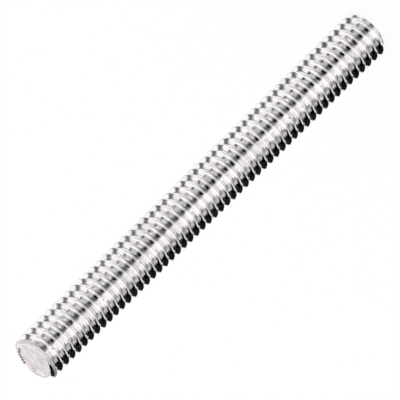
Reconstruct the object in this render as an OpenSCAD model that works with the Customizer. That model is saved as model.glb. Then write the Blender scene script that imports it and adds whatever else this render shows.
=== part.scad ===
// Threaded rod: a fully threaded length of bright plated steel rod,
// standing on one cut end, its axis along Z, the lower end face at Z = 0.
// All lengths in millimetres, all angles in degrees.

/* [Body] */
// Overall length of the rod, from end face to end face
rod_length = 76.2; // [30:0.1:120]
// Diameter over the crests of the thread
major_diameter = 7.86; // [5:0.01:12]
// Size of the 45 degree chamfer that each end is cut back by
end_chamfer = 0.53; // [0.2:0.01:0.8]

/* [Thread] */
// Advance of the thread in one full turn, the crest to crest distance
thread_pitch = 1.4111; // [1:0.0001:2]
// Depth of the groove below the crests
thread_depth = 0.80; // [0.4:0.01:1.1]
// Width of the flat land left at the top of each crest
crest_width = 0.18; // [0.1:0.01:0.4]
// Angle between the two flanks of the groove
flank_angle = 60; // [50:1:70]
// Direction about the axis at which the groove runs out of the lower end face
start_angle = 180; // [0:1:359]
// Straight steps the groove is cut in for each full turn
steps_per_turn = 24; // [12:1:32]

/* [Hidden] */

// Radius over the crests, and the pitch in use
crest_r = major_diameter / 2;
pitch = thread_pitch;
// Half the flank angle, as the slope of one flank
slope = tan(flank_angle / 2);
// Half the opening of the groove at the crests
mouth_half = (pitch - crest_width) / 2;
// Depth in use: never so deep that the flanks would cross at the root
depth = min(thread_depth, (mouth_half - 0.04 * pitch) / slope);
root_r = crest_r - depth;
root_half = mouth_half - depth * slope;
// The groove starts and ends this many turns beyond the end faces
run_out = 0.8;
turns = rod_length / pitch + 2 * run_out;
// Steps in use: a long or fine thread takes fewer steps in each turn
steps = max(10, min(steps_per_turn, floor(12400 / (8 * turns))));
count = ceil(turns * steps);
// The cutter reaches clear of the crests between its steps
outer_r = (crest_r + 0.015) / cos(180 / steps);
outer_half = min(mouth_half + (outer_r - crest_r) * slope, 0.49 * pitch);

// Cross-section of the groove cutter: radius, then height from its middle
section = [
  [root_r, -root_half],
  [root_r, root_half],
  [outer_r, outer_half],
  [outer_r, -outer_half]
];

// One cross-section of the cutter, carried up a right-hand helix
function ring(i) =
  let (turn = i / steps - run_out, a = start_angle + 360 * turn)
  [for (q = section) [q[0] * cos(a), q[0] * sin(a), q[1] + turn * pitch]];

// Corner j of section i, as an index into the list of points
function at(i, j) = 4 * i + j % 4;

// The groove cutter: one closed helical bar of trapezoid section
module groove() {
  points = [for (i = [0 : count]) each ring(i)];
  sides = [
    for (i = [0 : count - 1], j = [0 : 3])
      each [
        [at(i, j), at(i + 1, j + 1), at(i, j + 1)],
        [at(i, j), at(i + 1, j), at(i + 1, j + 1)]
      ]
  ];
  first_end = [[0, 1, 2], [0, 2, 3]];
  last_end = [
    [at(count, 0), at(count, 2), at(count, 1)],
    [at(count, 0), at(count, 3), at(count, 2)]
  ];
  polyhedron(points = points, faces = concat(first_end, sides, last_end), convexity = 10);
}

// The plain bar before threading, both ends chamfered
module blank() {
  face_r = crest_r - end_chamfer;
  rotate_extrude($fn = 96)
    polygon([
      [0, 0],
      [face_r, 0],
      [crest_r, end_chamfer],
      [crest_r, rod_length - end_chamfer],
      [face_r, rod_length],
      [0, rod_length]
    ]);
}

// The finished rod: one groove cut from end to end of the bar
module threaded_rod() {
  color([0.78, 0.77, 0.78])
    difference() {
      blank();
      groove();
    }
}

threaded_rod();
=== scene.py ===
# %% [markdown]
# # A threaded rod
# One length of bright plated steel rod with a thread rolled from end to end, standing on its cut
# end. The CAD solid holds the real sizes: the length, the crest diameter and the one helical
# groove. What is added here is what the making leaves behind: rounded crests and roots from the
# die, dull cut ends with saw marks, a few nicks, and the finish.

# %% The frame
import math
from random import Random

import bmesh
import bpy
from mathutils import Matrix, Vector


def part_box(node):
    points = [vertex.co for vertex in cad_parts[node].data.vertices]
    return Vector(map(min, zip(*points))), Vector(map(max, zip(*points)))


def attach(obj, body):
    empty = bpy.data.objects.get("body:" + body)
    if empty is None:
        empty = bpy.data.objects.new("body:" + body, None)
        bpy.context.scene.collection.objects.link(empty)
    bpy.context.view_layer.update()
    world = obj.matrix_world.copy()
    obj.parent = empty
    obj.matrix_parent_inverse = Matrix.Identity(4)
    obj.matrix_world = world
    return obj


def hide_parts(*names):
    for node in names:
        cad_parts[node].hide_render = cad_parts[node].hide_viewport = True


MM = 0.001
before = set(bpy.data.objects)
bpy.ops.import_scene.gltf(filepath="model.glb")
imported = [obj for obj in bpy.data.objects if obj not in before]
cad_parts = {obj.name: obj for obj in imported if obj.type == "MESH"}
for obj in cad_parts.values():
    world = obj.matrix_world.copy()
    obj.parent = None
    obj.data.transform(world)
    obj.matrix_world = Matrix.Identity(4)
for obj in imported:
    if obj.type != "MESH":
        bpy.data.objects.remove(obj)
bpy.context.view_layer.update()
low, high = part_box("threaded_rod")
rod_length = high.z - low.z
crest_r = (high.x - low.x) / 2
print("CAD nodes:", list(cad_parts))
print(f"rod: {rod_length / MM:.2f} mm long, {2 * crest_r / MM:.2f} mm over the crests")

# %% [markdown]
# ## The sizes of the thread
# The frame gives the length and the crest radius. The thread has 54 turns in that length, so the
# pitch follows. The chamfer at each end, and the side on which the groove runs out of the lower
# face, are those of the solid.
#
# The solid's groove has sharp corners and flanks at the usual 60 degrees. A die has round edges and
# leaves more metal in the corners, so the groove that it rolls is a little shallower and steeper.
# It still lies inside the solid's groove, and the crests stay where they are.

# %% Thread sizes
turns = 54
pitch = rod_length / turns
chamfer = 0.53 * MM
start_angle = math.radians(180)
face_r = crest_r - chamfer
broken_rim = 0.24 * MM

groove_depth = 0.72 * MM
flank_angle = math.radians(32)
crest_land = 0.20 * MM
flank_rise = groove_depth * math.tan(flank_angle)
root_r = crest_r - groove_depth
half_root = (pitch - crest_land) / 2 - flank_rise
root_corner = 0.15 * MM
crest_corner = 0.095 * MM
print(f"pitch {pitch / MM:.4f} mm")
print(f"root {2 * half_root / MM:.2f} mm wide at a radius of {root_r / MM:.2f} mm")


# %% [markdown]
# ## Helpers for work by hand
# Operators act on whatever is selected. With the mouse a piece is clicked on. Here these helpers do
# it: one selects a single object, one selects vertices or faces by a rule about their place, and
# one counts what a step made.

# %% Selecting by place
same_place = 0.001 * MM


def alone(obj):
    """Makes obj the only selected and the active object."""
    bpy.ops.object.select_all(action="DESELECT")
    obj.select_set(True)
    bpy.context.view_layer.objects.active = obj


def pick(obj, kind, rule):
    """In edit mode, selects only the verts or faces that the rule accepts."""
    bpy.ops.mesh.select_mode(type={"verts": "VERT", "faces": "FACE"}[kind])
    bpy.ops.mesh.select_all(action="DESELECT")
    mesh = bmesh.from_edit_mesh(obj.data)
    for part in getattr(mesh, kind):
        part.select = rule(part)
    mesh.select_flush_mode()
    bmesh.update_edit_mesh(obj.data)


def report(obj):
    """Prints how many triangles a piece has, whether it is closed, and its volume."""
    mesh = bmesh.new()
    mesh.from_mesh(obj.data)
    triangles = sum(len(f.verts) - 2 for f in mesh.faces)
    open_edges = sum(not e.is_manifold for e in mesh.edges)
    volume = mesh.calc_volume() / MM ** 3
    print(f"{obj.name}: {triangles} triangles, {open_edges} open edges, {volume:.0f} mm3")
    mesh.free()


# %% [markdown]
# ## One pitch of the thread
# A rolled thread is one outline swept along a helix. The outline of one pitch is drawn as a chain
# of vertices: half a root, up one flank, over the land, down the other flank and half a root. A
# vertex bevel then turns the four corners into arcs, as the die does. The chain's two ends lie in
# the middle of a root, so they are no corners and stay as they are.

# %% The outline
arc_parts = 5

bpy.ops.object.select_all(action="DESELECT")
bpy.ops.mesh.primitive_plane_add(size=MM, location=(0, 0, 0))
rod = bpy.context.object
rod.name = rod.data.name = "rolled_rod"
bpy.ops.object.mode_set(mode="EDIT")
bpy.ops.mesh.merge(type="CENTER")
bpy.ops.transform.translate(value=(root_r, 0, 0))
for out, up in [
    (0, half_root),
    (groove_depth, flank_rise),
    (0, crest_land),
    (-groove_depth, flank_rise),
    (0, half_root),
]:
    bpy.ops.mesh.extrude_region_move(TRANSFORM_OT_translate={"value": (out, 0, up)})
for reach, rounding in [(root_r, root_corner), (crest_r, crest_corner)]:
    pick(rod, "verts", lambda v: len(v.link_edges) == 2 and abs(v.co.x - reach) < same_place)
    bpy.ops.mesh.bevel(affect="VERTICES", offset=rounding, segments=arc_parts, profile=0.5)
bpy.ops.object.mode_set(mode="OBJECT")
print(f"outline: {len(rod.data.vertices)} points")

# %% [markdown]
# ## Sweeping it into a thread
# One turn could be copied and stacked, but every joint would have to be merged. The Screw modifier
# turns the outline round the axis and lifts it by one pitch a turn, so each turn starts where the
# last one ended. Two spare turns at each end leave enough to cut off square. The Bisect operator
# cuts and closes the ends.

# %% The sweep
steps = 64
spare_turns = 2
merge_below = 1e-7
cut_tolerance = 1e-8

bpy.ops.object.mode_set(mode="EDIT")
bpy.ops.mesh.select_all(action="SELECT")
bpy.ops.transform.translate(value=(0, 0, -spare_turns * pitch))
bpy.ops.transform.rotate(value=-start_angle, orient_axis="Z", center_override=(0, 0, 0))
bpy.ops.object.mode_set(mode="OBJECT")
screw = rod.modifiers.new("thread", "SCREW")
screw.axis = "Z"
screw.angle = math.tau
screw.screw_offset = pitch
screw.iterations = turns + 2 * spare_turns
screw.steps = screw.render_steps = steps
bpy.ops.object.modifier_apply(modifier=screw.name)
bpy.ops.object.mode_set(mode="EDIT")
bpy.ops.mesh.select_all(action="SELECT")
bpy.ops.mesh.remove_doubles(threshold=merge_below)
for height, outward in [(-pitch / 2, -1), (rod_length + pitch / 2, 1)]:
    bpy.ops.mesh.select_all(action="SELECT")
    bpy.ops.mesh.bisect(
        plane_co=(0, 0, height),
        plane_no=(0, 0, outward),
        use_fill=True,
        clear_outer=True,
        threshold=cut_tolerance,
    )
bpy.ops.mesh.select_all(action="SELECT")
bpy.ops.mesh.normals_make_consistent(inside=False)
bpy.ops.object.mode_set(mode="OBJECT")
report(rod)


# %% [markdown]
# ## Shader sums
# A pattern could be a web of nodes drawn by hand, but it is easier to read as a sum. This class
# wraps a socket, and each operator on it adds one Math node. Any other node comes from add_node.

# %% Shader maths
class Value:
    """A number that changes over the surface, written as an expression."""

    def __init__(self, tree, socket):
        self.tree = tree
        self.socket = socket

    def made_by(self, kind, settings, inputs):
        return Value(self.tree, add_node(self.tree, kind, settings, inputs))

    def math(self, operation, *others):
        return self.made_by("ShaderNodeMath", {"operation": operation}, [self, *others])

    def __add__(self, other):
        return self.math("ADD", other)

    def __sub__(self, other):
        return self.math("SUBTRACT", other)

    def __mul__(self, other):
        return self.math("MULTIPLY", other)

    def __rsub__(self, other):
        return self.made_by("ShaderNodeMath", {"operation": "SUBTRACT"}, [other, self])

    __radd__ = __add__
    __rmul__ = __mul__

    def ramp(self, start, end):
        """0 at start, 1 at end, and a smooth step between them. Start may be the higher one."""
        settings = {"interpolation_type": "SMOOTHSTEP"}
        return self.made_by("ShaderNodeMapRange", settings, [self, start, end, 0.0, 1.0])


def add_node(tree, kind, settings, inputs, output=0):
    """Adds a node, sets it up, joins or sets its inputs, and returns one of its outputs."""
    node = tree.nodes.new(kind)
    for name, value in settings.items():
        setattr(node, name, value)
    pairs = inputs.items() if isinstance(inputs, dict) else enumerate(inputs)
    for key, value in pairs:
        if isinstance(value, Value):
            value = value.socket
        if isinstance(value, bpy.types.NodeSocket):
            tree.links.new(value, node.inputs[key])
        else:
            node.inputs[key].default_value = value
    return None if output is None else node.outputs[output]


def coordinates(tree, vector):
    """The three numbers of a vector."""
    node = add_node(tree, "ShaderNodeSeparateXYZ", {}, [vector]).node
    return [Value(tree, part) for part in node.outputs]


# %% [markdown]
# ## Patterns on the metal
# A painted picture could carry the marks of use, but a picture blurs close up. These patterns are
# worked out at every point instead. They read Object coordinates, which are metres from the foot of
# the rod's axis, so a size given here is a real size. Noise drawn out along one axis gives the
# scratches of a saw.

# %% Patterns
def bare_metal(name, colour, roughness):
    """A metal with its tree, its Principled shader and its Object coordinates.

    The plain colour and roughness are near the mean of any pattern that takes their place.
    """
    material = bpy.data.materials.new(name)
    material.use_nodes = True
    tree = material.node_tree
    shader = next(n for n in tree.nodes if n.type == "BSDF_PRINCIPLED")
    shader.inputs["Base Color"].default_value = (*colour, 1)
    shader.inputs["Metallic"].default_value = 1.0
    shader.inputs["Roughness"].default_value = roughness
    place = add_node(tree, "ShaderNodeTexCoord", {}, {}, "Object")
    return material, tree, shader, place


def noise(tree, place, size, stretch=(1, 1, 1), detail=2.0):
    """Soft blotches about as wide as size, from 0 to 1, drawn out along an axis by stretch."""
    spread = tuple(size * s for s in stretch)
    spot = add_node(tree, "ShaderNodeVectorMath", {"operation": "DIVIDE"}, [place, spread])
    inputs = {"Vector": spot, "Scale": 1.0, "Detail": detail}
    return Value(tree, add_node(tree, "ShaderNodeTexNoise", {}, inputs, "Fac"))


def relief(tree, shader, height, depth):
    """Raises the surface by depth where height is 1."""
    normal = add_node(tree, "ShaderNodeBump", {}, {"Strength": 1.0, "Distance": depth, "Height": height})
    tree.links.new(normal, shader.inputs["Normal"])


def tint(tree, shader, amount, first, second):
    """Colours the surface from first to second as amount goes from 0 to 1."""
    inputs = {0: amount, 6: (*first, 1), 7: (*second, 1)}
    colour = add_node(tree, "ShaderNodeMix", {"data_type": "RGBA"}, inputs, 2)
    tree.links.new(colour, shader.inputs["Base Color"])


# %% [markdown]
# ## Bright plating
# The plating is a thin bright metal skin with a faint pink tint. It is almost a mirror, but rolled
# steel under it is never quite even: the flanks wave a little, small dents cover it, and fine lines
# run along the groove where the die slid. The lines follow the helix, so they read how far a point
# is up its own turn. A sine and cosine of that share close the pattern where one turn meets the
# next. Fine broken dark lines along the two corners of the root are painted shade.

# %% The plating
line_width = 0.2
bump_height = 0.022 * MM
# The cosine is 1 in the middle of a crest, -1 in the middle of a root, and this at a root's corners.
corner = math.cos(math.pi - math.tau * half_root / pitch)


def plated_steel():
    """Bright plating over waves and dents, with lines and painted shade in the root corners along the
    thread.
    """
    material, tree, shader, place = bare_metal("bright_plating", (0.96, 0.935, 0.948), 0.08)
    across, along, height = coordinates(tree, place)
    share = height * (math.tau / pitch) - along.math("ARCTAN2", across)
    middle = share.math("COSINE")
    helical = add_node(tree, "ShaderNodeCombineXYZ", {}, [middle, share.math("SINE"), height * 20.0])
    lines = noise(tree, helical, 0.11, detail=3.0)
    waves = noise(tree, place, 0.9 * MM)
    handling = noise(tree, place, 3.0 * MM).ramp(0.45, 0.7)
    dents = noise(tree, place, 0.35 * MM)
    relief(tree, shader, waves + lines * 0.05 + dents * 0.3, bump_height)
    # Painted shade: fine broken dark lines along both corners of every root, a little rougher there too.
    in_corner = middle.ramp(corner - line_width, corner) * middle.ramp(corner + line_width, corner)
    painted_corner_shade = in_corner * noise(tree, place, 0.5 * MM).ramp(0.35, 0.6) * 0.9
    tint(tree, shader, painted_corner_shade + handling * 0.1, (0.97, 0.945, 0.958), (0.10, 0.09, 0.095))
    roughness = lines * 0.04 + 0.01 + handling * 0.03 + painted_corner_shade * 0.3
    tree.links.new(roughness.socket, shader.inputs["Roughness"])
    return material


# %% [markdown]
# ## The cut ends
# The ends were cut after plating and never polished, so they are dull bare steel with a faint pink
# cast. A cut-off saw leaves straight scratches from side to side, and the chamfering tool leaves
# rings near the rim. These are too fine to model, so they are relief and colour in the material.
# A lighter line round the edge of the face, where the rim rounds off, is a painted highlight.
# Where the metal tore it is bare and darker, and its near-black colour is also painted shade.

# %% The cut steel
edge_r = face_r - broken_rim
edge_line = 0.12 * MM


def cut_steel():
    """Dull bare steel with saw marks across the face, rings near its rim and a painted edge highlight.
    """
    material, tree, shader, place = bare_metal("cut_steel", (0.84, 0.79, 0.81), 0.5)
    across, along = coordinates(tree, place)[:2]
    radius = (across * across + along * along).math("SQRT")
    saw = noise(tree, place, 0.26 * MM, stretch=(6, 1, 6), detail=3.0)
    rings = noise(tree, add_node(tree, "ShaderNodeCombineXYZ", {}, [radius, 0.0, 0.0]), 0.12 * MM)
    near_rim = radius.ramp(0.8 * face_r, 0.95 * face_r)
    grain = noise(tree, place, 0.24 * MM, detail=4.0)
    marks = saw * (1.0 - near_rim) + rings * near_rim
    relief(tree, shader, marks + grain * 0.8, 0.05 * MM)
    patches = noise(tree, place, 1.1 * MM)
    # Painted highlight: a lighter ring round the face where the rim rounds off, mixed into the mottle.
    painted_edge_highlight = radius.ramp(edge_r - edge_line, edge_r) * radius.ramp(edge_r + edge_line, edge_r)
    mottle_and_edge_highlight = (patches * 0.7 + grain * 1.3 + marks * 1.4 - painted_edge_highlight * 0.6).ramp(1.3, 2.1)
    tint(tree, shader, mottle_and_edge_highlight, (0.98, 0.935, 0.955), (0.66, 0.60, 0.625))
    tree.links.new((grain * 0.2 + 0.4).socket, shader.inputs["Roughness"])
    return material


def torn_steel_and_pit_shade():
    """Rough steel in the nicks, near black: partly bare torn steel, partly painted shade in the pits."""
    material, tree, shader, place = bare_metal("torn_steel_and_pit_shade", (0.05, 0.045, 0.048), 0.6)
    relief(tree, shader, noise(tree, place, 0.05 * MM, detail=4.0), 0.02 * MM)
    return material


# %% [markdown]
# ## Chamfering the ends
# The rod is cut off and chamfered after it is rolled, so the chamfer cuts through crests and flanks
# alike. A plain bar with the two chamfers is made, and the thread keeps only what lies inside it. A
# bevel on the thread itself couldn't do this, because the chamfer's edge has no edge loop there.
# The bar is bare steel, and a Boolean with TRANSFER gives that to every face that the bar cuts.
#
# The chamfers were ground by hand, so each is deeper on one side, and the face's rim is broken
# into a narrow rounded band.

# %% The chamfered bar
clear = 0.02 * MM
rim_parts = 3
bar_r = crest_r + clear
taper = chamfer + clear
lean = math.radians(4)


def carve(obj, tool, operation):
    """Applies a Boolean of obj with tool and removes the tool."""
    alone(obj)
    cut = obj.modifiers.new("cut", "BOOLEAN")
    cut.operation = operation
    cut.solver = "EXACT"
    cut.material_mode = "TRANSFER"
    cut.object = tool
    bpy.ops.object.modifier_apply(modifier=cut.name)
    bpy.data.objects.remove(tool)


bpy.ops.object.select_all(action="DESELECT")
bpy.ops.mesh.primitive_cylinder_add(
    vertices=2 * steps, radius=bar_r, depth=rod_length - 2 * taper, location=(0, 0, rod_length / 2)
)
bar = bpy.context.object
bar.data.materials.append(cut_steel())
bpy.ops.object.transform_apply(location=True)
bpy.ops.object.mode_set(mode="EDIT")
for side, toward in [(1, math.radians(210)), (-1, math.radians(300))]:
    pick(bar, "faces", lambda f: f.normal.z * side > 0.9)
    ring = (0, 0, rod_length / 2 + side * (rod_length / 2 - taper))
    bpy.ops.mesh.extrude_region_move(TRANSFORM_OT_translate={"value": (0, 0, side * taper)})
    bpy.ops.transform.resize(value=(face_r / bar_r, face_r / bar_r, 1), center_override=ring)
    bpy.ops.mesh.bevel(affect="EDGES", offset=broken_rim, segments=rim_parts, profile=0.5)
    pick(bar, "verts", lambda v: abs(v.co.z - ring[2]) < clear)
    for axis, share in [("X", math.sin(toward)), ("Y", -math.cos(toward))]:
        bpy.ops.transform.rotate(value=side * share * lean, orient_axis=axis, center_override=ring)
    mesh = bmesh.from_edit_mesh(bar.data)
    depths = [abs(v.co.z - ring[2] - side * taper) / MM for v in mesh.verts if v.select]
    print(f"chamfer {min(depths):.2f} to {max(depths):.2f} mm deep")
bpy.ops.object.mode_set(mode="OBJECT")
rod.data.materials.append(plated_steel())
carve(rod, bar, "INTERSECT")
report(rod)

# %% [markdown]
# ## Nicks
# The saw tore a short stretch of the upper rim as it broke through, and left a few pits beside it.
# Some crests have been knocked as well. A mark in the material would leave the edge whole, so each
# nick is a small rough ball taken out of the rod, which gives a real pit with torn sides. The
# places are random, with a fixed seed, so every run makes the same rod.

# %% The nicks
seed = 11
smooth_below = math.radians(28)
chance = Random(seed)
# The nicks' near-black colour is bare torn steel and painted shade in the pits.
torn = torn_steel_and_pit_shade()


def rough_ball(angle, radius, height, size, slope):
    """A squashed ball at an angle round the rod, tipped in or out by slope.

    The three sizes are in millimetres: outward, round the rod and up it.
    """
    bpy.ops.mesh.primitive_ico_sphere_add(
        subdivisions=2,
        radius=1,
        location=(radius * math.cos(angle), radius * math.sin(angle), height),
        rotation=(0, slope, angle + chance.uniform(-0.1, 0.1)),
        scale=[edge * MM * chance.uniform(0.8, 1.2) for edge in size],
    )
    ball = bpy.context.object
    ball.data.materials.append(torn)
    return ball


balls = []
# Each row of marks on the upper face: from and to what angle, how many, how far out, what size.
for first, last, count, radius, size in [
    (9, 71, 7, 2.75, (0.34, 0.16, 0.30)),
    (112, 138, 5, 3.0, (0.16, 0.07, 0.07)),
    (143, 190, 6, 3.1, (0.07, 0.13, 0.05)),
    (108, 120, 2, 1.95, (0.13, 0.10, 0.07)),
]:
    for k in range(count):
        angle = math.radians(first + (last - first) * (k + chance.uniform(-0.05, 0.05)) / (count - 1))
        reach = radius * MM + chance.uniform(-0.1, 0.1) * MM
        balls.append(rough_ball(angle, reach, rod_length, size, 0.2))
for turn_number in range(2, turns - 1, 2):
    angle = chance.uniform(0, math.tau)
    height = (turn_number + angle / math.tau) * pitch
    balls.append(rough_ball(angle, crest_r, height, (0.09, 0.15, 0.11), chance.uniform(0, math.pi)))
print(f"{len(balls)} nicks")
bpy.ops.object.select_all(action="DESELECT")
for ball in balls:
    ball.select_set(True)
bpy.context.view_layer.objects.active = balls[0]
bpy.ops.object.join()
carve(rod, balls[0], "DIFFERENCE")
alone(rod)
bpy.ops.object.shade_smooth_by_angle(angle=smooth_below)
report(rod)
print("finishes:", [m.name for m in rod.data.materials])

# %% [markdown]
# ## The camera
# The photograph looks down on the rod from one end, with the rod slanting across the picture. The
# rod stands upright here, so the camera looks down on it by the same angle and is rolled until the
# rod slants as it does there. The pixel values say where the upper face's centre and the rod's
# size show in the picture, and a long lens far away keeps the rod's sides parallel.

# %% The camera
photo_side = 400
near_face_px = Vector((33.6, 360.9))
axis_angle = math.radians(44.6)
axis_tilt = math.radians(25.3)
px_per_mm = 6.835
camera_azimuth = math.radians(-3)

photo_width = photo_side / px_per_mm * MM
lens = 1500.0
sensor = 36.0
distance = lens / sensor * photo_width

back = Vector((
    math.sin(camera_azimuth) * math.cos(axis_tilt),
    -math.cos(camera_azimuth) * math.cos(axis_tilt),
    math.sin(axis_tilt),
))
upright = back.to_track_quat("Z", "Y")
turn = upright.to_matrix().to_4x4() @ Matrix.Rotation(-math.pi / 2 - axis_angle, 4, "Z")
right = turn.col[0].to_3d()
up = turn.col[1].to_3d()
offset_px = Vector((photo_side / 2 - near_face_px.x, near_face_px.y - photo_side / 2))
aim = Vector((0, 0, rod_length)) + (right * offset_px.x + up * offset_px.y) / px_per_mm * MM
camera_data = bpy.data.cameras.new("camera")
camera_data.lens = lens
camera_data.sensor_width = sensor
camera_data.clip_end = 10
camera = bpy.data.objects.new("camera", camera_data)
bpy.context.scene.collection.objects.link(camera)
camera.matrix_world = Matrix.Translation(aim + back * distance) @ turn
bpy.context.scene.camera = camera
print(f"camera {distance:.2f} m away")

# %% [markdown]
# ## The studio
# Bright metal shows its surroundings more than itself. A photographer puts small bright steel in a
# white tent, and hangs dark cloths where the metal needs an edge. Sheets could stand round the rod,
# but they would darken the floor too. Here the world is the tent. It lights everything with plain
# white, and only what the metal mirrors shows the cloths. They hang in fixed directions round the
# rod and far from it, so every turn of the thread mirrors them alike.

# %% The tent
soft_edge = 0.3

scene = bpy.context.scene
scene.view_settings.view_transform = "Standard"
world = bpy.data.worlds.new("tent")
scene.world = world
world.use_nodes = True
tent = world.node_tree

ray = add_node(tent, "ShaderNodeTexCoord", {}, {}, "Generated")
turn_inputs = {"Vector": ray, "Angle": math.pi / 2 - camera_azimuth}
turned = add_node(tent, "ShaderNodeVectorRotate", {"rotation_type": "Z_AXIS"}, turn_inputs)
across, along, height = coordinates(tent, turned)
bearing = (along * -1.0).math("ARCTAN2", across) * math.degrees(1)
rise = height.math("ARCSINE") * math.degrees(1)
spot = add_node(tent, "ShaderNodeCombineXYZ", {}, [bearing, rise, 0.0])


def vector_math(operation, inputs, output=0):
    """One Vector Math node of the tent."""
    return add_node(tent, "ShaderNodeVectorMath", {"operation": operation}, inputs, output)


def cloth(bearing_at, rise_at, half_width, half_height, dark):
    """The light that is left round one dark cloth with soft edges.

    Places and sizes are degrees, and bearing_at goes round the rod from the camera to its left.
    """
    offset = vector_math("SUBTRACT", [spot, (bearing_at, rise_at, 0)])
    shape = vector_math("DIVIDE", [offset, (half_width, half_height, 1)])
    reach = Value(tent, vector_math("LENGTH", [shape], "Value"))
    return 1.0 - reach.ramp(1 + soft_edge, 1 - soft_edge) * dark


# %% [markdown]
# The darkest cloths stand in front, beside the camera, and on the rod's right side as the picture
# shows it. The rest are grey, and shade the flanks.

# %% The cloths
cloths = [
    cloth(-6, -1, 18, 18, 1.0),
    cloth(-4, 36, 15, 20, 0.65),
    cloth(-26, -26, 22, 9, 1.0),
    cloth(-8, -34, 16, 8, 0.85),
    cloth(-36, -8, 22, 12, 0.4),
    cloth(-56, 4, 10, 10, 1.0),
    cloth(-118, 32, 17, 14, 0.88),
    cloth(-118, 14, 24, 9, 0.45),
    cloth(-78, 34, 28, 16, 0.25),
    cloth(-126, -8, 34, 22, 0.25),
    cloth(62, 5, 12, 13, 1.0),
    cloth(74, 38, 21, 14, 0.85),
    cloth(80, -22, 21, 13, 0.7),
    cloth(82, -4, 14, 9, 0.45),
    cloth(114, -8, 20, 29, 1.0),
    cloth(122, 42, 20, 28, 1.0),
    cloth(144, 16, 20, 18, 0.99),
]
light = cloths[0]
for other in cloths[1:]:
    light = light * other
mirrored = Value(tent, add_node(tent, "ShaderNodeLightPath", {}, {}, "Is Glossy Ray"))
light = 1.0 - mirrored * (1.0 - light)
tent_colour = add_node(tent, "ShaderNodeCombineColor", {}, [light, light, light])
tent.links.new(tent_colour, tent.nodes["Background"].inputs["Color"])
tent.nodes["Background"].inputs["Strength"].default_value = 1.0
print(f"tent: {len(cloths)} dark cloths")


# %% [markdown]
# ## The floor
# The floor is pale and plain. Most of its tone is its own white, so that it matches the tent, and
# the rest is lit, so that the rod still throws a soft shadow on it. The metal doesn't mirror it,
# because the tent reaches below the rod too.

# %% The floor
def white_floor():
    """A white that shines by itself to the camera and is lit for the rest."""
    material = bpy.data.materials.new("white_floor")
    material.use_nodes = True
    tree = material.node_tree
    tree.nodes.clear()
    paint = 0.9
    own_white = 0.85
    glow = (1 - (1 - own_white) * paint) / own_white
    lit = add_node(tree, "ShaderNodeBsdfDiffuse", {}, {"Color": (paint, paint, paint, 1)})
    shine = add_node(tree, "ShaderNodeEmission", {}, {"Color": (1, 1, 1, 1), "Strength": glow})
    seen = Value(tree, add_node(tree, "ShaderNodeLightPath", {}, {}, "Is Camera Ray"))
    mixed = add_node(tree, "ShaderNodeMixShader", {}, [seen * own_white, lit, shine])
    add_node(tree, "ShaderNodeOutputMaterial", {}, {"Surface": mixed}, None)
    return material


floor_side = 4.0
bpy.ops.object.select_all(action="DESELECT")
bpy.ops.mesh.primitive_plane_add(size=floor_side, location=(0, 0, 0))
floor = bpy.context.object
floor.name = "floor"
floor.visible_glossy = False
floor.data.materials.append(white_floor())
print(f"floor {floor_side:.0f} m wide")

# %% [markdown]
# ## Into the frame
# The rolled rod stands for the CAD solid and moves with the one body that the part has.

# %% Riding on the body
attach(rod, "root")
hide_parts("threaded_rod")
print("rolled_rod stands for threaded_rod")
